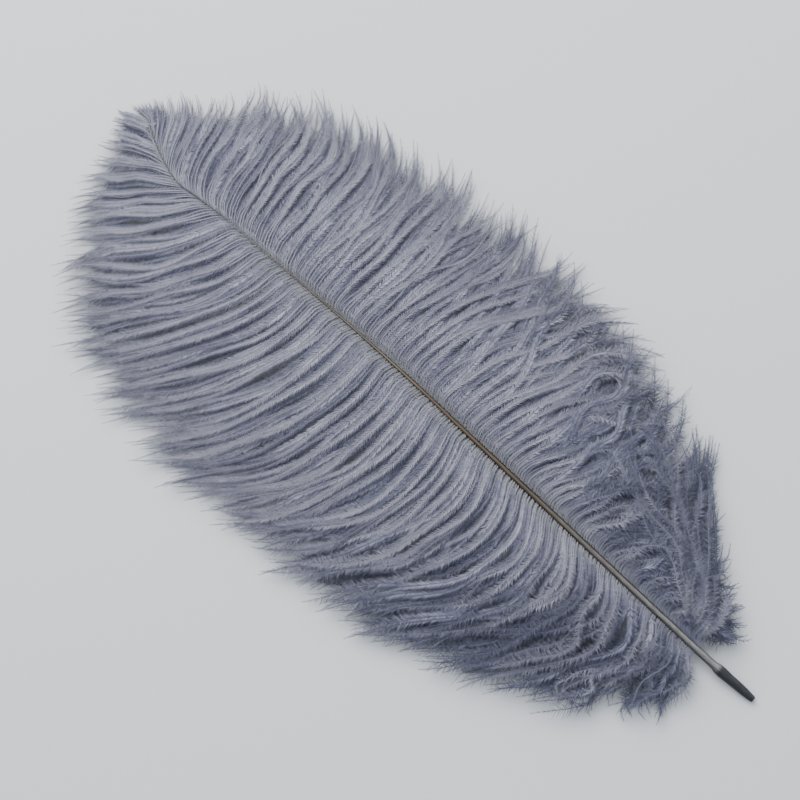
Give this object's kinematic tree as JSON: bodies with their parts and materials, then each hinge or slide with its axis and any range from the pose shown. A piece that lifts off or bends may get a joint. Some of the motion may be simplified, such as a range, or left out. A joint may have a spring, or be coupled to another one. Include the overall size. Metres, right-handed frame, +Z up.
{
  "type": "ostrich feather",
  "caption": "Dyed grey-blue ostrich plume lying flat: a curved shaft with a dark bare quill end and broad soft vanes of drooping barbs.",
  "frame": {"origin": "on the table, below the middle of the feather's box", "axes": "+X from the quill's tip to the feather's tip, +Y towards the wider vane, +Z up, away from the table"},
  "size_m": [0.4529, 0.2275, 0.0332],
  "materials": {
    "plume": "matte"
  },
  "bodies": {
    "root": {"feather": "plume"}
  },
  "joints": []
}
